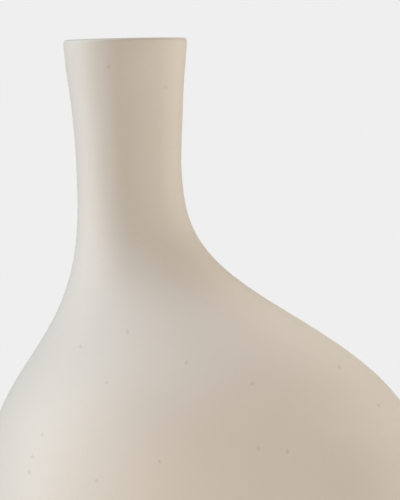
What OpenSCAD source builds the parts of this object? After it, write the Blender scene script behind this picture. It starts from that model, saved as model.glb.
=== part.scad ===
// Stoneware bottle vase with its neck set off the middle of the body.
// Millimetres. The origin is on the floor under the middle of the widest line, and +Z is up.
// The neck stands towards -X, above the steep shoulder. The long shoulder runs towards +X.

/* [Overall] */
// Height from the floor to the high side of the mouth
vase_h = 300; // [250:1:360]
// Diameter at the widest line
belly_d = 190; // [158:1:228]
// Height of the widest line
belly_h = 100; // [84:1:120]
// Radius of the bulge of the wall at the widest line
belly_round = 90; // [75:1:110]

/* [Neck] */
// Outer diameter where the neck is narrowest
neck_d = 44.2; // [36:0.2:54]
// Distance of the narrowest part of the neck from the middle of the body
neck_shift = 33.2; // [10:0.2:40]
// Outer diameter of the mouth
mouth_d = 52.6; // [43:0.2:63]
// Distance of the mouth from the middle of the body
mouth_shift = 35; // [10:0.2:42]
// Tilt of the mouth towards the steep side, in degrees
mouth_tilt = 1.2; // [0:0.1:3]
// Radius of the bulge of the wall where the neck flares into the mouth
mouth_round = 52; // [40:1:80]
// Length of the neck piece, from its seam to the mouth
neck_l = 62; // [55:1:75]

/* [Steep shoulder] */
// Drop from the top to the narrowest point on this side
steep_drop = 72; // [60:1:86]
// Radius of the hollow of the wall at that point
steep_hollow = 180; // [150:1:216]
// Where the bulge turns into the hollow, as a share of the climb from belly to neck
steep_turn_rise = 0.49; // [0.45:0.01:0.54]
// Where it turns, as a share of the way in from belly to neck
steep_turn_in = 0.47; // [0.43:0.01:0.52]
// Slope at the turn, against that of a straight line from belly to neck
steep_turn_slope = 2.1; // [1.8:0.05:2.3]

/* [Long shoulder] */
// Drop from the top to the narrowest point on this side
long_drop = 51; // [42:1:60]
// Radius of the hollow of the wall at that point
long_hollow = 90; // [75:1:108]
// Where the bulge turns into the hollow, as a share of the climb from belly to neck
long_turn_rise = 0.56; // [0.52:0.01:0.6]
// Where it turns, as a share of the way in from belly to neck
long_turn_in = 0.575; // [0.53:0.005:0.62]
// Slope at the turn, against that of a straight line from belly to neck
long_turn_slope = 2.3; // [1.9:0.05:2.5]

/* [Walls] */
// Thickness of the fired clay
wall_t = 4.4; // [3.6:0.1:5.4]
// Thickness of the clay at the floor of the vase
floor_t = 7; // [5.8:0.1:8.4]
// Thickness of each coat of glaze
glaze_t = 0.4; // [0.3:0.05:0.5]
// Thickness of the slip in each seam
slip_t = 0.6; // [0.5:0.05:0.8]
// Radius of the rounded edges of the lip
lip_round = 1.4; // [1.1:0.1:1.7]
// How far the outer glaze runs down inside the mouth
glaze_wrap = 8; // [6:0.5:10]
// How far the cove inside reaches in over the floor, twice its height
cove = 14; // [11:1:17]

/* [Foot] */
// Diameter of the bowl where it meets the foot ring
base_d = 98; // [97:1:118]
// Slope of the bowl there, as reach over height
base_slope = 1.1; // [0.9:0.05:1.3]
// Radius of the bulge of the wall there
base_round = 130; // [108:1:156]
// Outer diameter of the foot ring
foot_d = 95; // [79:1:96]
// Width of the foot ring
foot_w = 11; // [10:0.5:13.5]
// Height of the foot ring with its seam
foot_h = 6; // [5:0.5:7.5]
// Radius of the rounded edges of the foot ring
foot_round = 1.2; // [0.9:0.1:1.4]
// Height of the boss under the bowl that centres the foot ring
boss_h = 2.4; // [2:0.2:3]
// Width of the band of bare clay below the outer glaze
bare_band = 3; // [2:0.5:5]

/* [Bumpers] */
// Number of bumpers under the foot ring
bumper_count = 4; // [3:1:6]
// Diameter of a bumper
bumper_d = 8; // [6:0.5:8.5]
// Thickness of a bumper
bumper_h = 2; // [1.6:0.1:2.4]
// Radius of the rounded lower edge of a bumper
bumper_round = 0.6; // [0.3:0.1:0.8]

/* [Hidden] */

sides = 48; // flats round the off-centre pieces
bowl_steps = 18;
dome_steps = 18;
neck_steps = 8;
cove_steps = 6;
corner_steps = 3;
nudge = 0.01; // half the height over which a slope is measured

clay = "#c9b69d";
slip = "#b9a488";
cream = "#dcd5c8";
lining = "#e4ddd0";
silicone = "#d5d9d8";

// Depths under the outer surface, square to the wall
clay_out = glaze_t;
clay_in = glaze_t + wall_t;
skin_in = clay_in + glaze_t;

// Heights
base_h = bumper_h + foot_h;
floor_h = base_h + floor_t;
glaze_h = base_h + bare_band;
belly_low = belly_h - slip_t / 2;
belly_high = belly_h + slip_t / 2;
rim_h = vase_h - tan(mouth_tilt) * (mouth_d / 2 - lip_round);
seam_h = rim_h - neck_l;
seam_low = seam_h - slip_t / 2;
seam_high = seam_h + slip_t / 2;
wrap_h = rim_h - glaze_wrap;
lip_h = rim_h - lip_round;
tilt_from = vase_h - steep_drop;

// Radii of the foot
foot_out = foot_d / 2;
foot_in = foot_out - foot_w;
boss_r = foot_in - slip_t;
bumper_at = foot_out - foot_w / 2;

function steps(low, high, n) = [for (i = [0:n]) low + (high - low) * i / n];
function backwards(list) = [for (i = [len(list) - 1:-1:0]) list[i]];
function smooth(t) = t <= 0 ? 0 : t >= 1 ? 1 : t * t * (3 - 2 * t);

// A station of an outline is [height, reach, slope, bend]. This is the reach at height z on the
// curve between two stations, which meets the next curve with the same slope and bend.
function span(a, b, z) =
    let (
        h = b[0] - a[0],
        t = (z - a[0]) / h,
        from_a = [
            1 - 10 * t^3 + 15 * t^4 - 6 * t^5,
            t - 6 * t^3 + 8 * t^4 - 3 * t^5,
            (t^2 - 3 * t^3 + 3 * t^4 - t^5) / 2
        ],
        from_b = [
            10 * t^3 - 15 * t^4 + 6 * t^5,
            -4 * t^3 + 7 * t^4 - 3 * t^5,
            (t^3 - 2 * t^4 + t^5) / 2
        ]
    )
    from_a * [a[1], a[2] * h, a[3] * h^2] + from_b * [b[1], b[2] * h, b[3] * h^2];

function reach(outline, z, i = 0) =
    z <= outline[i + 1][0] || i == len(outline) - 2
        ? span(outline[i], outline[i + 1], z)
        : reach(outline, z, i + 1);

function slope(outline, z) =
    (reach(outline, z + nudge) - reach(outline, z - nudge)) / (2 * nudge);

// Reach of a surface that lies this deep under the outer one
function inset(outline, z, depth) =
    reach(outline, z) - depth * sqrt(1 + slope(outline, z)^2);

// Outline of one side of the vase. Both sides share the bowl, so it is round below the belly.
function side_outline(neck_reach, mouth_reach, drop, hollow, turn_rise, turn_in, turn_slope) =
    let (
        climb = vase_h - drop - belly_h,
        way_in = neck_reach - belly_d / 2,
        base_bend = -(1 + base_slope^2)^1.5 / base_round
    )
    [
        [base_h, base_d / 2, base_slope, base_bend],
        [belly_h, belly_d / 2, 0, -1 / belly_round],
        [
            belly_h + turn_rise * climb,
            belly_d / 2 + turn_in * way_in,
            turn_slope * way_in / climb,
            0
        ],
        [belly_h + climb, neck_reach, 0, 1 / hollow],
        [vase_h, mouth_reach, 0, -1 / mouth_round]
    ];

steep_side = side_outline(
    neck_d / 2 + neck_shift, mouth_d / 2 + mouth_shift,
    steep_drop, steep_hollow, steep_turn_rise, steep_turn_in, steep_turn_slope
);
long_side = side_outline(
    neck_d / 2 - neck_shift, mouth_d / 2 - mouth_shift,
    long_drop, long_hollow, long_turn_rise, long_turn_in, long_turn_slope
);

// A ring at [height, depth] spans the two sides, and tips with the mouth higher up.
function ring(at) =
    let (
        steep = inset(steep_side, at[0], at[1]),
        long = inset(long_side, at[0], at[1]),
        middle = (long - steep) / 2,
        r = (long + steep) / 2,
        tip = tan(mouth_tilt) * smooth((at[0] - tilt_from) / (rim_h - tilt_from))
    )
    [
        for (i = [0:sides - 1])
            let (a = 360 * i / sides)
            [middle + r * cos(a), r * sin(a), at[0] + tip * r * cos(a)]
    ];

// Solid round the vase whose section is a loop of [height, depth] points
module drawn(loop) {
    n = len(loop);
    polyhedron(
        points = [for (at = loop) each ring(at)],
        faces = [
            for (k = [0:n - 1], i = [0:sides - 1])
                let (
                    this = k * sides,
                    next = (k + 1) % n * sides,
                    j = (i + 1) % sides
                )
                [this + i, next + i, next + j, this + j]
        ]
    );
}

// Solid of revolution whose section is a loop of [radius, height] points
module turned(loop) {
    rotate_extrude($fn = 96) polygon(loop);
}

function corner(x, z, r, from, to) =
    [for (a = steps(from, to, corner_steps)) [x + r * cos(a), z + r * sin(a)]];

function at_depth(heights, depth) = [for (z = heights) [z, depth]];
function bowl_wall(heights, depth) = [for (z = heights) [inset(long_side, z, depth), z]];

bowl_heights = steps(glaze_h, belly_low, bowl_steps);
dome_heights = steps(belly_high, seam_low, dome_steps);
neck_heights = steps(seam_high, wrap_h, neck_steps);

// Inside of the bowl at this depth, from the axis out over the floor and up the wall
function bowl_inside(depth) =
    let (
        low = floor_h + depth - clay_in,
        edge = inset(long_side, low, depth),
        high = low + cove / 2,
        wall = inset(long_side, high, depth)
    )
    concat(
        [[0, low]],
        [
            for (t = steps(0, 1, cove_steps))
                (1 - t)^2 * [edge - cove, low] + 2 * t * (1 - t) * [edge, low] + t^2 * [wall, high]
        ],
        bowl_wall([for (z = bowl_heights) if (z > floor_h + cove) z], depth)
    );

// Over the lip from outside to inside, this far under the surface of the glaze
function lip(under) =
    let (r = lip_round - under)
    concat(
        [
            for (a = steps(0, 90, corner_steps))
                [lip_h + r * sin(a), lip_round - r * cos(a)]
        ],
        [
            for (a = steps(90, 0, corner_steps))
                [lip_h + r * sin(a), skin_in - lip_round + r * cos(a)]
        ]
    );

module foot_ring() {
    top = base_h - slip_t;
    color(clay)
        turned(concat(
            corner(foot_out - foot_round, bumper_h + foot_round, foot_round, -90, 0),
            corner(foot_out - foot_round, top - foot_round, foot_round, 0, 90),
            [[foot_in, top]],
            corner(foot_in + foot_round, bumper_h + foot_round, foot_round, 180, 270)
        ));
}

module foot_slip() {
    top = base_h - slip_t;
    color(slip)
        turned([
            [boss_r, base_h - boss_h], [foot_in, base_h - boss_h], [foot_in, top],
            [foot_out - foot_round, top], [foot_out - foot_round, base_h], [boss_r, base_h]
        ]);
}

module lower_bowl() {
    color(clay)
        turned(concat(
            [[0, base_h - boss_h], [boss_r, base_h - boss_h], [boss_r, base_h]],
            bowl_wall([base_h], clay_out),
            bowl_wall(bowl_heights, clay_out),
            backwards(bowl_inside(clay_in))
        ));
}

module belly_slip() {
    color(slip)
        turned(concat(
            bowl_wall([belly_low, belly_high], clay_out),
            bowl_wall([belly_high, belly_low], clay_in)
        ));
}

module shoulder_dome() {
    color(clay)
        drawn(concat(
            at_depth(dome_heights, clay_out),
            at_depth(backwards(dome_heights), clay_in)
        ));
}

module neck_slip() {
    color(slip)
        drawn(concat(
            at_depth([seam_low, seam_high], clay_out),
            at_depth([seam_high, seam_low], clay_in)
        ));
}

module neck_collar() {
    color(clay)
        drawn(concat(
            at_depth(neck_heights, clay_out),
            lip(glaze_t),
            at_depth(backwards(neck_heights), clay_in)
        ));
}

// The outer glaze is dipped in two goes that meet at the top of the belly seam.
module bowl_glaze() {
    heights = concat(bowl_heights, [belly_high]);
    color(cream)
        turned(concat(bowl_wall(heights, 0), bowl_wall(backwards(heights), clay_out)));
}

module shoulder_glaze() {
    heights = concat(dome_heights, neck_heights);
    color(cream)
        drawn(concat(
            at_depth(heights, 0),
            lip(0),
            at_depth([wrap_h], skin_in),
            at_depth([wrap_h], clay_in),
            backwards(lip(glaze_t)),
            at_depth(backwards(heights), clay_out)
        ));
}

// The lining is poured in, and its two halves meet at the same height.
module bowl_lining() {
    color(lining)
        turned(concat(
            bowl_inside(clay_in),
            bowl_wall([belly_high], clay_in),
            bowl_wall([belly_high], skin_in),
            backwards(bowl_inside(skin_in))
        ));
}

module shoulder_lining() {
    heights = concat(dome_heights, neck_heights);
    color(lining)
        drawn(concat(at_depth(heights, clay_in), at_depth(backwards(heights), skin_in)));
}

module bumper_pads() {
    r = bumper_d / 2;
    color(silicone)
        for (i = [0:bumper_count - 1])
            rotate([0, 0, 360 * (i + 0.5) / bumper_count])
                translate([bumper_at, 0, 0])
                    turned(concat(
                        [[0, 0]],
                        corner(r - bumper_round, bumper_round, bumper_round, -90, 0),
                        [[r, bumper_h], [0, bumper_h]]
                    ));
}

foot_ring();
foot_slip();
lower_bowl();
belly_slip();
shoulder_dome();
neck_slip();
neck_collar();
bowl_glaze();
shoulder_glaze();
bowl_lining();
shoulder_lining();
bumper_pads();
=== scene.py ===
import math
import bmesh
import bpy
import numpy as np
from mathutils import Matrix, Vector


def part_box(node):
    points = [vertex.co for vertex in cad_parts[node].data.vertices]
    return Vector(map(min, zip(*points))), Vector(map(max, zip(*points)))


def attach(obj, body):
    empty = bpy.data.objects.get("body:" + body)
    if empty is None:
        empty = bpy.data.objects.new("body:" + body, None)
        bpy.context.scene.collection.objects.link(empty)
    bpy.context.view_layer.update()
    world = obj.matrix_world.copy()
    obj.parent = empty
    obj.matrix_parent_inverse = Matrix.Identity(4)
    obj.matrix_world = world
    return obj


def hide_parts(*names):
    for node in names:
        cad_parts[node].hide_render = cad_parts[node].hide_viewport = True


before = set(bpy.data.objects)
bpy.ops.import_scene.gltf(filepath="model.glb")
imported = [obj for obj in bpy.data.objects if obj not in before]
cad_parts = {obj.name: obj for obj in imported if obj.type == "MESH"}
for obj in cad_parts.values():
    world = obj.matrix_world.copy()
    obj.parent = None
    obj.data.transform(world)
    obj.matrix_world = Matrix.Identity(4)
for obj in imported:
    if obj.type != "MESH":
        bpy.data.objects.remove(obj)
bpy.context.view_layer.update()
print("frame loaded:", len(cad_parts), "nodes")

# Lengths are in metres, +Z is up, the neck stands towards -X.
# How finely every ring of the pot is drawn, and how far the wheel left it from true
wheel = {
    "sides": 240,
    "ringGap": 0.0018,
    "uneven": 0.00009,  # deepest hollow left in the wall
    "unevenLow": 0.02,  # no hollows below this height
    # waves round each ring, turn for each metre of height, where it starts, share
    "swells": [(2, 31, 0.4, 1), (3, -57, 1.9, 0.7), (1, 120, 0, 0.6), (5, 90, 2.6, 0.4)],
}
angles = np.arange(wheel["sides"]) * 2 * math.pi / wheel["sides"]


def sectionOf(name):
    # points of the node in the plane of symmetry, as x and z, lowest first
    points = np.array([v.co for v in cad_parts[name].data.vertices])
    points = points[np.abs(points[:, 1]) < 1e-6][:, [0, 2]]
    return points[np.argsort(points[:, 1])]


def ringsOf(name, breakGap=0.002):
    # the steep side's outermost point and the long side's, for each ring of the node
    points = sectionOf(name)
    breaks = np.flatnonzero(np.diff(points[:, 1]) > breakGap) + 1
    split = np.split(points, breaks)
    return [(ring[ring[:, 0].argmin()], ring[ring[:, 0].argmax()]) for ring in split]


def levelRings(name, below, straight=0.00001):
    # height and radius of each level ring of a round node, and not the extra ones on the way
    points = np.array([v.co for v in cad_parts[name].data.vertices])
    heights, counts = np.unique(points[:, 2].round(6), return_counts=True)
    heights = heights[(counts > counts.max() / 4) & (heights < below)]  # a ring has many points
    radii = np.hypot(points[:, 0], points[:, 1])
    radii = np.array([radii[np.abs(points[:, 2] - z) < 0.00001].max() for z in heights])
    share = (heights[1:-1] - heights[:-2]) / (heights[2:] - heights[:-2])
    bulge = radii[1:-1] - radii[:-2] - share * (radii[2:] - radii[:-2])
    real = np.concatenate([[True], np.abs(bulge) > straight, [True]])
    return np.stack([heights, radii], 1)[real]


class Curve:
    # smooth curve through rows of values at rising places
    def __init__(self, places, values):
        self.places, self.values = places, values
        gaps, rises = np.diff(places), np.diff(values, axis=0)
        system, right = np.eye(len(places)), np.zeros(values.shape)
        system[0, 1] = system[-1, -2] = -1
        for i in range(1, len(places) - 1):
            system[i, i - 1:i + 2] = gaps[i - 1], 2 * (gaps[i - 1] + gaps[i]), gaps[i]
            right[i] = 6 * (rises[i] / gaps[i] - rises[i - 1] / gaps[i - 1])
        self.bends = np.linalg.solve(system, right)

    def at(self, places):
        # the values and their slopes
        i = np.clip(np.searchsorted(self.places, places) - 1, 0, len(self.places) - 2)
        gap = (self.places[i + 1] - self.places[i])[:, None]
        b = (places - self.places[i])[:, None] / gap
        a = 1 - b
        low, high = self.values[i], self.values[i + 1]
        bendLow, bendHigh = self.bends[i], self.bends[i + 1]
        pull = (a**3 - a) * bendLow + (b**3 - b) * bendHigh
        turn = (3 * b**2 - 1) * bendHigh - (3 * a**2 - 1) * bendLow
        return a * low + b * high + pull * gap**2 / 6, (high - low) / gap + turn * gap / 6


# Heights and depths of the shells, as they are in the frame
bowlBox, liningBox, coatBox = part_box("lower_bowl"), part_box("bowl_lining"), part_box("bowl_glaze")
size = {
    "padHeight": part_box("bumper_pads")[1].z,
    "footTop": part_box("foot_ring")[1].z,
    "base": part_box("foot_slip")[1].z,
    "boss": bowlBox[0].z,
    "glazeLine": coatBox[0].z,
    "floor": liningBox[0].z,
    "belly": (bowlBox[1].z + coatBox[1].z) / 2,
    "neckSeam": sum(corner.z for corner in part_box("neck_slip")) / 2,
    "coat": coatBox[1].x - bowlBox[1].x,
    "clay": bowlBox[1].x - liningBox[1].x,
    "seam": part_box("foot_slip")[1].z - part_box("foot_ring")[1].z,
}
size["clayIn"] = size["coat"] + size["clay"]
size["liningIn"] = size["clayIn"] + size["coat"]
rim = sectionOf("shoulder_glaze")
rim = rim[rim[:, 1] > size["neckSeam"]]
rimMiddle = (rim[:, 0].min() + rim[:, 0].max()) / 2
rimSides = [rim[rim[:, 0] < rimMiddle][:, 1].max(), rim[rim[:, 0] > rimMiddle][:, 1].max()]
size["rim"] = sum(rimSides) / 2 - 0.0001  # the glaze draws back a little from the lip
size["liningTop"] = np.mean([points[1] for points in ringsOf("shoulder_lining")[-1]])

# The outline: steep reach, long reach and tip of a ring at each height
bowlTop = size["belly"] - wheel["ringGap"]
bowlRings = [(z, radius, radius, 0) for z, radius in levelRings("bowl_glaze", bowlTop)]
upperRings = [
    ((steep[1] + long[1]) / 2, -steep[0], long[0], (long[1] - steep[1]) / (long[0] - steep[0]))
    for steep, long in ringsOf("shoulder_glaze")
]
rings = np.array(bowlRings + upperRings)
seam = np.abs(rings[:, 0] - size["neckSeam"]).argmin()  # two rings stand close together there
rings[seam, 3] = (rings[seam - 1, 3] + rings[seam + 1, 3]) / 2
outline = Curve(rings[:, 0], rings[:, 1:])
print("outline read:", len(rings), "rings, rim at", round(size["rim"], 4))


def eased(share):
    share = np.clip(share, 0, 1)
    return share * share * (3 - 2 * share)


def wave(heights):
    # depth of the soft hollows, the same in every shell so that they still nest
    turn, h = angles[None, :], heights[:, None]
    swell = sum(share * np.sin(n * turn + k * h + start) for n, k, start, share in wheel["swells"])
    swell /= sum(share for *_, share in wheel["swells"])
    fade = eased((h - wheel["unevenLow"]) / 0.05) * eased((size["rim"] - h) / 0.03)
    return wheel["uneven"] * fade * (0.5 + 0.5 * swell)


def skin(heights, depths):
    # rings of points this deep under the outline, one for each height
    heights = np.array(heights, float)
    depths = np.broadcast_to(np.array(depths, float), heights.shape)
    values, slopes = outline.at(heights)
    reach = values[:, :2] - depths[:, None] * np.sqrt(1 + slopes[:, :2] ** 2)
    middle = (reach[:, 1] - reach[:, 0])[:, None] / 2
    radius = (reach[:, 1] + reach[:, 0])[:, None] / 2 - wave(heights)
    x, y = radius * np.cos(angles), radius * np.sin(angles)
    return np.stack([middle + x, y, heights[:, None] + values[:, 2:] * x], 2)


def turned(profile):
    # rings round the axis, one for each radius and height
    r, z = np.array(profile, float).T[:, :, None]
    return np.stack([r * np.cos(angles), r * np.sin(angles), z + 0 * angles], 2)


def arc(r, z, radius, start, end, steps=8):
    turns = np.radians(np.linspace(start, end, steps + 1))
    return [(r + radius * math.cos(t), z + radius * math.sin(t)) for t in turns]


def spaced(low, high, gap=wheel["ringGap"]):
    return np.linspace(low, high, max(2, round((high - low) / gap) + 1))


def makePiece(name, loops, material, nodes, crease=40):
    # skins each closed loop of rings, and lets the piece stand for its nodes
    mesh = bpy.data.meshes.new(name)
    points, faces = [], []
    for loop in loops:
        rows, sides = loop.shape[:2]
        index = sum(len(p) for p in points) + np.arange(rows * sides).reshape(rows, sides)
        nextRow, nextSide = np.roll(index, -1, 0), np.roll(index, -1, 1)
        corner = np.roll(nextRow, -1, 1)
        faces.append(np.stack([index, nextSide, corner, nextRow], 2).reshape(-1, 4))
        points.append(loop.reshape(-1, 3))
    mesh.from_pydata(np.concatenate(points).tolist(), [], np.concatenate(faces).tolist())
    solid = bmesh.new()
    solid.from_mesh(mesh)
    bmesh.ops.remove_doubles(solid, verts=solid.verts, dist=1e-7)
    bmesh.ops.recalc_face_normals(solid, faces=solid.faces)
    solid.to_mesh(mesh)
    solid.free()
    mesh.shade_smooth()
    mesh.set_sharp_from_angle(angle=math.radians(crease))
    piece = bpy.data.objects.new(name, mesh)
    bpy.context.scene.collection.objects.link(piece)
    mesh.materials.append(material)
    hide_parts(*nodes)
    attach(piece, "root")
    print("made", name, len(mesh.polygons), "faces")
    return piece


class Value:
    # a socket that sums are written with
    def __init__(self, finish, socket):
        self.finish, self.socket = finish, socket

    def __add__(self, other):
        return self.finish.maths("ADD", self, other)

    def __sub__(self, other):
        return self.finish.maths("SUBTRACT", self, other)

    def __rsub__(self, other):
        return self.finish.maths("SUBTRACT", other, self)

    def __mul__(self, other):
        return self.finish.maths("MULTIPLY", self, other)

    __radd__, __rmul__ = __add__, __mul__

    def atLeast(self, other):
        return self.finish.maths("MAXIMUM", self, other)

    def below(self, other):
        return self.finish.maths("LESS_THAN", self, other)


class Finish:
    # a material, with the nodes that are added to it
    def __init__(self, name, **constants):
        self.material = bpy.data.materials.new(name)
        self.material.use_nodes = True
        self.tree = self.material.node_tree
        self.tree.nodes.clear()
        self.shader = self.node("ShaderNodeBsdfPrincipled", {}, constants)
        self.end = self.node("ShaderNodeOutputMaterial", {}, {"Surface": self.out(self.shader)})
        self.place = self.out(self.node("ShaderNodeTexCoord"), "Object")

    def node(self, kind, settings={}, values={}):
        made = self.tree.nodes.new(kind)
        for name, value in settings.items():
            setattr(made, name, value)
        for name, value in values.items():
            if isinstance(value, Value):
                self.tree.links.new(value.socket, made.inputs[name])
            else:
                made.inputs[name].default_value = value
        return made

    def out(self, node, name=0):
        return Value(self, node.outputs[name])

    def maths(self, operation, *values):
        made = self.node("ShaderNodeMath", {"operation": operation}, dict(enumerate(values)))
        return self.out(made)

    def vectors(self, operation, values, name=0):
        made = self.node("ShaderNodeVectorMath", {"operation": operation}, dict(enumerate(values)))
        return self.out(made, name)

    def axis(self, name):
        return self.out(self.node("ShaderNodeSeparateXYZ", {}, {0: self.place}), name)

    def noise(self, scale, detail=3, stretch=(1, 1, 1), roughness=0.5):
        place = self.vectors("MULTIPLY", [self.place, stretch])
        return self.out(self.node(
            "ShaderNodeTexNoise", {},
            {"Vector": place, "Scale": scale, "Detail": detail, "Roughness": roughness},
        ))

    def cells(self, scale, stretch=(1, 1, 1)):
        # distance from the middle of the cell, and a random value for the cell
        place = self.vectors("MULTIPLY", [self.place, stretch])
        cell = self.node("ShaderNodeTexVoronoi", {}, {"Vector": place, "Scale": scale})
        parts = self.node("ShaderNodeSeparateColor", {}, {0: self.out(cell, "Color")})
        return self.out(cell, "Distance"), self.out(parts)

    def rise(self, value, low, high, top=1):
        # climbs softly from 0 at low to top at high
        return self.out(self.node(
            "ShaderNodeMapRange", {"interpolation_type": "SMOOTHSTEP"},
            {"Value": value, "From Min": low, "From Max": high, "To Min": 0, "To Max": top},
        ))

    def mix(self, factor, first, second):
        return self.out(self.node(
            "ShaderNodeMix", {"data_type": "RGBA"}, {0: factor, 6: first, 7: second},
        ), 2)

    def paint(self, colour, roughness, height=None, depth=0.0001):
        # what varies over the surface, and a bump from a height of 0 to 1
        varying = {"Base Color": colour, "Roughness": roughness}
        if height is not None:
            varying["Normal"] = self.out(self.node(
                "ShaderNodeBump", {}, {"Strength": 1, "Distance": depth, "Height": height},
            ))
        for name, value in varying.items():
            self.tree.links.new(value.socket, self.shader.inputs[name])
        return self.material


glaze = {
    "full": (0.70, 0.645, 0.565, 1),
    "thin": (0.60, 0.525, 0.43, 1),
    "speck": (0.40, 0.27, 0.20, 1),
    "roughness": 0.6,
    "specular": 0.5,
    "grain": 0.00006,  # depth of the finest unevenness
    "mottle": 0.14,  # how far the broad clouds go towards the thin colour
    "edgeHeight": 0.003,  # the coat is thin this far up from the foot
    "speckShow": 0.2,  # how strongly specks differ from the glaze
    "looseSpecks": (95, 0.8),  # cells to the metre, share that has a speck
    "dust": (330, 0.35),
    "dustShow": 0.35,  # beside a full speck
    "placed": [  # x, z and width of the specks that stand by themselves on the -Y side
        (-0.0419, 0.2873, 0.0013), (-0.0178, 0.2785, 0.0012), (-0.0536, 0.1691, 0.0011),
        (-0.0337, 0.1754, 0.0012), (-0.0424, 0.1541, 0.0011), (-0.0089, 0.1626, 0.0012),
        (0.0187, 0.1538, 0.0012), (0.0556, 0.1602, 0.0013), (0.0212, 0.1268, 0.0014),
        (0.0333, 0.1255, 0.0014), (-0.0201, 0.1214, 0.0012), (-0.0749, 0.1162, 0.0014),
        (-0.0736, 0.1229, 0.0012), (-0.0694, 0.1322, 0.0011), (-0.0465, 0.1133, 0.0012),
        (0.0720, 0.1442, 0.0011),
    ],
}


def makeCreamGlaze():
    g = glaze
    f = Finish("creamGlaze", **{"Specular IOR Level": g["specular"]})
    x, y, z = f.axis("X"), f.axis("Y"), f.axis("Z")
    tall = 0.8  # specks are drawn out upwards a little
    flat = f.out(f.node("ShaderNodeCombineXYZ", {}, {0: x, 2: z * tall}))
    front = y.below(0)
    placed = 0
    for speckX, speckZ, width in g["placed"]:
        away = f.vectors("DISTANCE", [flat, (speckX, 0, speckZ * tall)], "Value")
        dot = f.rise(away, width * 0.75, width * 0.3)
        placed = dot if placed == 0 else dot.atLeast(placed)
    away, chance = f.cells(g["looseSpecks"][0], (1, 1, 0.75))
    loose = f.rise(away, 0.085, 0.045) * chance.below(g["looseSpecks"][1])
    far, luck = f.cells(g["dust"][0], (1, 1, 0.8))
    dust = f.rise(far, 0.13, 0.05) * luck.below(g["dust"][1])
    specks = (placed * front).atLeast(loose * (1 - front)).atLeast(dust * g["dustShow"])
    broad, fine = f.noise(9, 2), f.noise(160, 4)
    edge = f.rise(z, size["glazeLine"] + g["edgeHeight"], size["glazeLine"])
    lip = f.rise(z + f.noise(60) * 0.001, size["rim"] - 0.0012, size["rim"] + 0.0004, 0.3)
    body = f.mix(f.rise(broad, 0.35, 0.65, g["mottle"]) + fine * 0.06, g["full"], g["thin"])
    body = f.mix(edge.atLeast(lip), body, g["thin"])
    colour = f.mix(specks * g["speckShow"], body, g["speck"])
    roughness = g["roughness"] - 0.04 + fine * 0.08 + specks * 0.1
    height = f.noise(650, 2) * 0.5 + fine * 0.5 - specks * 0.4
    return f.paint(colour, roughness, height, g["grain"])


lining = {
    "colour": (0.74, 0.69, 0.61, 1),
    "pooled": (0.66, 0.59, 0.49, 1),
    "poolHeight": 0.012,  # how far up from the floor it gathers
    "roughness": 0.26,
}


def makeLiningGlaze():
    f = Finish("liningGlaze", **{"Coat Weight": 0.3, "Coat Roughness": 0.12})
    z = f.axis("Z")
    pools = f.rise(f.noise(22, 3), 0.4, 0.7, 0.5)
    away, chance = f.cells(140)
    specks = f.rise(away, 0.09, 0.04) * chance.below(0.5)
    low = f.rise(z, size["floor"] + lining["poolHeight"], size["floor"], 0.8)
    colour = f.mix(pools.atLeast(low), lining["colour"], lining["pooled"])
    colour = f.mix(specks * 0.4, colour, glaze["speck"])
    streaks = f.noise(90, 3, (1, 1, 0.25))
    return f.paint(colour, lining["roughness"] + streaks * 0.08, streaks, 0.0001)


clay = {
    "body": (0.56, 0.45, 0.34, 1),
    "dark": (0.36, 0.26, 0.18, 1),
    "pale": (0.72, 0.63, 0.51, 1),
    "roughness": 0.82,
    "grain": 0.00012,  # depth of the sandy surface
}


def makeBareClay():
    f = Finish("bareClay", **{"Specular IOR Level": 0.3})
    toast = f.rise(f.noise(30, 4), 0.3, 0.75, 0.45)
    away, chance = f.cells(900)
    grit = f.rise(away, 0.3, 0.1) * chance.below(0.3)
    sand, luck = f.cells(600)
    pale = f.rise(sand, 0.3, 0.12) * luck.below(0.25)
    colour = f.mix(toast, clay["body"], clay["dark"])
    colour = f.mix(grit * 0.6, colour, clay["dark"])
    colour = f.mix(pale * 0.5, colour, clay["pale"])
    grain = f.noise(1500, 3)
    height = grain + pale * 0.6 - grit * 0.4
    return f.paint(colour, clay["roughness"] + grain * 0.12, height, clay["grain"])


slip = {"colour": (0.46, 0.35, 0.24, 1), "wet": (0.36, 0.27, 0.18, 1), "roughness": 0.74}


def makeJointSlip():
    f = Finish("jointSlip", **{"Specular IOR Level": 0.35})
    brushed = f.noise(260, 3, (1, 1, 6))
    colour = f.mix(brushed, slip["colour"], slip["wet"])
    return f.paint(colour, slip["roughness"] + brushed * 0.14, brushed, 0.00008)


rubber = {
    "colour": (0.80, 0.83, 0.82, 1),
    "dusty": (0.62, 0.62, 0.58, 1),
    "roughness": 0.22,
}


def makeSilicone():
    f = Finish("clearSilicone", **{"Transmission Weight": 0.75, "IOR": 1.41})
    dust = f.rise(f.noise(500, 4), 0.45, 0.7)
    colour = f.mix(dust * 0.6, rubber["colour"], rubber["dusty"])
    return f.paint(colour, rubber["roughness"] + dust * 0.2, dust, 0.000004)


creamGlaze, liningGlaze = makeCreamGlaze(), makeLiningGlaze()
bareClay, jointSlip, silicone = makeBareClay(), makeJointSlip(), makeSilicone()
print("finishes mixed")

# The foot: a turned ring on four bumpers, luted under the bowl
foot = {
    "round": 0.0012,
    "groove": 0.00012,  # depth of the marks of the turning tool
    "grooveGap": 0.0011,
    "sideGroove": 0.00008,  # depth of the fainter marks on its sides
}


def marks(places, depth=foot["groove"], gap=foot["grooveGap"]):
    # shallow rounded marks, from 0 to depth
    return depth * (0.5 - 0.5 * np.cos(2 * math.pi * np.array(places) / gap))


def radiiOf(name):
    # smallest and largest radius of a round node
    points = np.array([v.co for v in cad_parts[name].data.vertices])
    radii = np.hypot(points[:, 0], points[:, 1])
    return radii.min(), radii.max()


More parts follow.
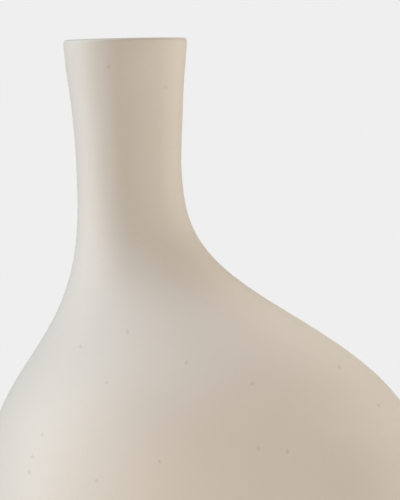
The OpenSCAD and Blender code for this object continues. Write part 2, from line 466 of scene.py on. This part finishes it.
def makeFoot():
    inner, outer = radiiOf("foot_ring")
    bossRadius = radiiOf("foot_slip")[0]
    low, top, r = size["padHeight"], size["footTop"], foot["round"]
    under = np.linspace(inner + r, outer - r, 90)
    side = np.linspace(low + r, top - r, 26)
    bareSide = np.stack([outer - marks(side - low, foot["sideGroove"]), side], 1)
    innerSide = np.linspace(top, low + r, 30)
    profile = (
        [(u, low + d) for u, d in zip(under, marks(under - inner - r))]
        + arc(outer - r, low + r, r, -90, 0)[1:-1] + bareSide.tolist()
        + arc(outer - r, top - r, r, 0, 90)[1:]
        + [(inner + d, z) for z, d in zip(innerSide, marks(innerSide - low, foot["sideGroove"]))]
        + arc(inner + r, low + r, r, 180, 270)[1:-1]
    )
    makePiece("turnedFoot", [turned(profile)], bareClay, ["foot_ring"])
    seamOut, b = outer - r, size["boss"]
    bulge = arc(seamOut - size["seam"] / 2, (top + size["base"]) / 2, size["seam"] / 2, -90, 90, 6)
    profile = [(bossRadius, b), (inner, b), (inner, top)] + bulge + [(bossRadius, size["base"])]
    makePiece("footSeam", [turned(profile)], jointSlip, ["foot_slip"])
    return bossRadius


bossRadius = makeFoot()

bumper = {"round": 0.0006, "dish": 0.00012}


def makeBumpers():
    # four clear pads, dished a little underneath as moulded ones are
    points = np.array([v.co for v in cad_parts["bumper_pads"].data.vertices])
    quarter = points[(points[:, 0] > 0) & (points[:, 1] > 0)]
    middle = (quarter.min(0) + quarter.max(0)) / 2
    r = (quarter[:, 0].max() - quarter[:, 0].min()) / 2
    flat, b = r - bumper["round"], bumper["round"]
    dish = [(t * flat * 0.6, bumper["dish"] * (1 - t * t) ** 2) for t in np.linspace(0, 1, 8)]
    profile = (
        dish + arc(flat, b, b, -90, 0, 6)
        + [(r - 0.0001, size["padHeight"]), (0, size["padHeight"])]
    )
    pad = turned(profile)[:, ::5]
    loops = [pad + (x * middle[0], y * middle[1], 0) for x in (1, -1) for y in (1, -1)]
    makePiece("clearBumpers", loops, silicone, ["bumper_pads"])


makeBumpers()

# The walls: a turned bowl, a dome and a collar, with slip between them
wall = {
    "cove": 0.014,  # how far the cove reaches in over the floor
    "spiral": 0.00014,  # depth of the turned rings under the bowl
    "spiralGap": 0.0016,
}


def coveOver(depth):
    # inside of the bowl from the axis out to the wall, and the height where the wall starts
    low = size["floor"] + depth - size["clayIn"]
    high = low + wall["cove"] / 2
    edge, side = skin([low, high], depth)[:, 0, 0]
    steps = np.linspace(0, 1, 16)
    bend = [
        ((1 - t) ** 2 * (edge - wall["cove"]) + 2 * t * (1 - t) * edge + t * t * side,
         (1 - t * t) * low + t * t * high)
        for t in steps
    ]
    flat = [(r, low) for r in np.linspace(0.004, edge - wall["cove"], 14)[:-1]]
    return [(0, low)] + flat + bend, high


def makeWalls():
    half = size["seam"] / 2
    bellyLow, bellyHigh = size["belly"] - half, size["belly"] + half
    seamLow, seamHigh = size["neckSeam"] - half, size["neckSeam"] + half
    out, inside = size["coat"], size["clayIn"]
    under = np.linspace(0.002, bossRadius, 110)
    cuts = marks(under, wall["spiral"], wall["spiralGap"])
    profile = [(0, size["boss"])] + [(u, size["boss"] + d) for u, d in zip(under, cuts)]
    profile += [(bossRadius, size["base"])]
    floorRows, wallFrom = coveOver(inside)
    outer = spaced(size["base"], bellyLow)
    inner = spaced(wallFrom, bellyLow)[1:]
    bowl = np.concatenate([
        turned(profile), skin(outer, out), skin(inner[::-1], inside), turned(floorRows[::-1]),
    ])
    makePiece("turnedBowl", [bowl], bareClay, ["lower_bowl"])
    for name, material, slotName, nodes, low, high in (
        ("bellySeam", jointSlip, "joint_slip", ["belly_slip"], bellyLow, bellyHigh),
        ("dome", bareClay, "bare_clay", ["shoulder_dome"], bellyHigh, seamLow),
        ("neckSeam", jointSlip, "joint_slip", ["neck_slip"], seamLow, seamHigh),
    ):
        heights = spaced(low, high)
        loop = np.concatenate([skin(heights, out), skin(heights[::-1], inside)])
        makePiece(name, [loop], material, nodes)
    heights = spaced(seamHigh, size["liningTop"])
    loop = np.concatenate([skin(heights, out), lipOver(size["coat"]), skin(heights[::-1], inside)])
    makePiece("collar", [loop], bareClay, ["neck_collar"])


# The coats of glaze, each in one piece from the foot or the floor to the mouth
coat = {
    "lipRound": 0.0014,
    "beadHeight": 0.0012,  # how soon the edge at the foot reaches full thickness
    "edgeWave": 0.00035,
    "throwing": 0.0003,  # height of the throwing rings inside
    "throwingGap": 0.0065,
    "insideGap": 0.0016,  # between the rings drawn inside
}


def lipOver(under):
    # over the lip from outside to inside, this far under the surface of the glaze
    r = coat["lipRound"] - under
    low = size["rim"] - coat["lipRound"]
    turns = np.radians(np.linspace(0, 90, 11))
    up, out = r * np.sin(turns), r * np.cos(turns)
    outside = skin(low + up, coat["lipRound"] - out)
    inside = skin((low + up)[::-1], size["liningIn"] - coat["lipRound"] + out[::-1])
    return np.concatenate([outside, inside])


def makeCoats():
    low, thick, inside = size["glazeLine"], size["coat"], size["clayIn"]
    bead = low + coat["beadHeight"] * (1 - np.cos(np.radians(np.linspace(0, 90, 9))))
    depth = thick * (1 - np.sqrt(1 - (1 - (bead - low) / coat["beadHeight"]) ** 2))
    heights = spaced(bead[-1], size["rim"] - coat["lipRound"])[1:-1]
    topOfWrap = spaced(size["liningTop"], size["rim"] - coat["lipRound"])[:-1]
    loop = np.concatenate([
        skin(bead, depth), skin(heights, 0), lipOver(0), skin(topOfWrap[::-1], size["liningIn"]),
        skin(topOfWrap[:1], inside), skin(topOfWrap[1:], inside), lipOver(thick)[::-1],
        skin(heights[::-1], thick), skin(bead[::-1], thick)[:-1],
    ])
    # the waxed edge at the foot wanders a little
    rise = np.sin(3 * angles + 0.5) + 0.6 * np.sin(7 * angles + 2) + 0.4 * np.sin(16 * angles)
    fade = np.exp(-(loop[:, :, 2] - low) / 0.004)
    loop[:, :, 2] += coat["edgeWave"] * 0.5 * (1 + rise[None, :] / 2) * fade
    makePiece("creamCoat", [loop], creamGlaze, ["bowl_glaze", "shoulder_glaze"])

    outerFloor, outerFrom = coveOver(inside)
    innerFloor, innerFrom = coveOver(size["liningIn"])
    outer = spaced(outerFrom, size["liningTop"])[1:]
    inner = spaced(innerFrom, size["liningTop"], coat["insideGap"])[1:]
    ridges = coat["throwing"] * (0.5 + 0.5 * np.sin(2 * math.pi * inner / coat["throwingGap"]))
    ridges *= np.clip((inner - innerFrom) / 0.01, 0, 1)
    ridges *= np.clip((size["liningTop"] - inner) / 0.02, 0, 1)
    loop = np.concatenate([
        turned(outerFloor), skin(outer, inside), skin(inner[::-1], size["liningIn"] + ridges[::-1]),
        turned(innerFloor[::-1]),
    ])
    nodes = ["bowl_lining", "shoulder_lining"]
    makePiece("pouredLining", [loop], liningGlaze, nodes)


makeWalls()
makeCoats()

# A pale round floor that fades out into the background
studio = {
    "background": (0.8632, 0.8632, 0.8632, 1),  # seen by the camera, and lights nothing
    "floorColour": (0.80, 0.80, 0.80, 1),
    "floorHeight": -0.0001,  # just under the bumpers
    "floorRadius": 1.0,
    "fadeFrom": 0.28,
}


def makeFloor():
    mesh = bpy.data.meshes.new("floor")
    radii = np.linspace(0.02, studio["floorRadius"], 40)
    turns, height = angles[::3], studio["floorHeight"]
    rows = [[(r * math.cos(a), r * math.sin(a), height) for a in turns] for r in radii]
    sides = len(turns)
    faces = [tuple(range(sides))]
    for k in range(len(rows) - 1):
        for i in range(sides):
            near, far = k * sides, (k + 1) * sides
            faces.append((near + i, far + i, far + (i + 1) % sides, near + (i + 1) % sides))
    mesh.from_pydata([p for row in rows for p in row], [], faces)
    floor = bpy.data.objects.new("floor", mesh)
    bpy.context.scene.collection.objects.link(floor)
    f = Finish("paleFloor", **{
        "Base Color": studio["floorColour"], "Roughness": 0.9, "Specular IOR Level": 0.1,
    })
    away = f.vectors("LENGTH", [f.place], "Value")
    fade = f.rise(away, studio["fadeFrom"], studio["floorRadius"] * 0.95)
    clear = f.node("ShaderNodeBsdfTransparent")
    blend = f.node("ShaderNodeMixShader", {}, {0: fade, 1: f.out(f.shader), 2: f.out(clear)})
    f.tree.links.new(blend.outputs[0], f.end.inputs["Surface"])
    mesh.materials.append(f.material)
    return floor


floor = makeFloor()

# Seven soft lamps for the pot, and one above it for the floor
window, lampGlow, plainLight = (0.80, 0.89, 1.0), (1.0, 0.90, 0.81), (1.0, 0.94, 0.86)
lights = {
    # azimuth round the pot from the front, elevation, distance, width, height,
    # height of what it points at, colour, watts
    "stripLeft": (-96, 6, 1.2, 0.25, 1.1, 0.2, window, 8.74),
    "topLeft": (-105, 42, 1.2, 0.55, 0.6, 0.2, window, 3.83),
    "overLeft": (-90, 70, 1.2, 0.5, 0.5, 0.2, window, 5.23),
    "frontFill": (-15, 0, 0.55, 0.25, 0.25, 0.22, lampGlow, 1.26),
    "neckRight": (80, 0, 0.55, 0.25, 0.25, 0.45, lampGlow, 1.98),
    "stripRight": (125, 6, 1.2, 0.25, 1.1, 0.2, plainLight, 4.62),
    "topBack": (165, 42, 1.2, 0.55, 0.6, 0.2, plainLight, 3.70),
}
floorLight = (0, 90, 2.2, 1.6, 1.6, 0, (1, 1, 1), 59)


def makeLight(name, azimuth, elevation, distance, width, height, aim, colour, watts):
    data = bpy.data.lights.new(name, "AREA")
    data.shape, data.size, data.size_y = "RECTANGLE", width, height
    data.color, data.energy = colour, watts
    a, e = math.radians(azimuth), math.radians(elevation)
    lamp = bpy.data.objects.new(name, data)
    away = np.array([math.sin(a) * math.cos(e), -math.cos(a) * math.cos(e), math.sin(e)])
    lamp.location = away * distance + (0, 0, aim)
    lamp.rotation_mode = "XYZ"
    lamp.rotation_euler = (math.pi / 2 - e, 0, a)
    lamp.visible_camera = False
    bpy.context.scene.collection.objects.link(lamp)
    return lamp


def keepTo(lamp, state):
    # the lamp lights only the floor, or everything but the floor, so that the floor stays even
    group = bpy.data.collections.new(lamp.name + "Reach")
    group.objects.link(floor)
    group.collection_objects[0].light_linking.link_state = state
    lamp.light_linking.receiver_collection = group


def makeWorld():
    world = bpy.data.worlds.new("paleRoom")
    bpy.context.scene.world = world
    world.use_nodes = True
    tree = world.node_tree
    tree.nodes.clear()
    end, shown, path = [
        tree.nodes.new("ShaderNode" + kind) for kind in ("OutputWorld", "Background", "LightPath")
    ]
    shown.inputs["Color"].default_value = studio["background"]
    tree.links.new(path.outputs["Is Camera Ray"], shown.inputs["Strength"])
    tree.links.new(shown.outputs[0], end.inputs["Surface"])


for name, facts in lights.items():
    keepTo(makeLight(name, *facts), "EXCLUDE")
keepTo(makeLight("floorLight", *floorLight), "INCLUDE")
makeWorld()
print("studio lit")

view = {"place": (-0.0032, -5.0, 0.2097), "lens": 847, "sensor": 36}
cameraData = bpy.data.cameras.new("camera")
cameraData.lens, cameraData.sensor_width = view["lens"], view["sensor"]
cameraData.clip_end = 60
camera = bpy.data.objects.new("camera", cameraData)
camera.location = view["place"]
camera.rotation_euler = (math.pi / 2, 0, 0)
bpy.context.scene.collection.objects.link(camera)
bpy.context.scene.camera = camera
bpy.context.scene.view_settings.view_transform = "Standard"
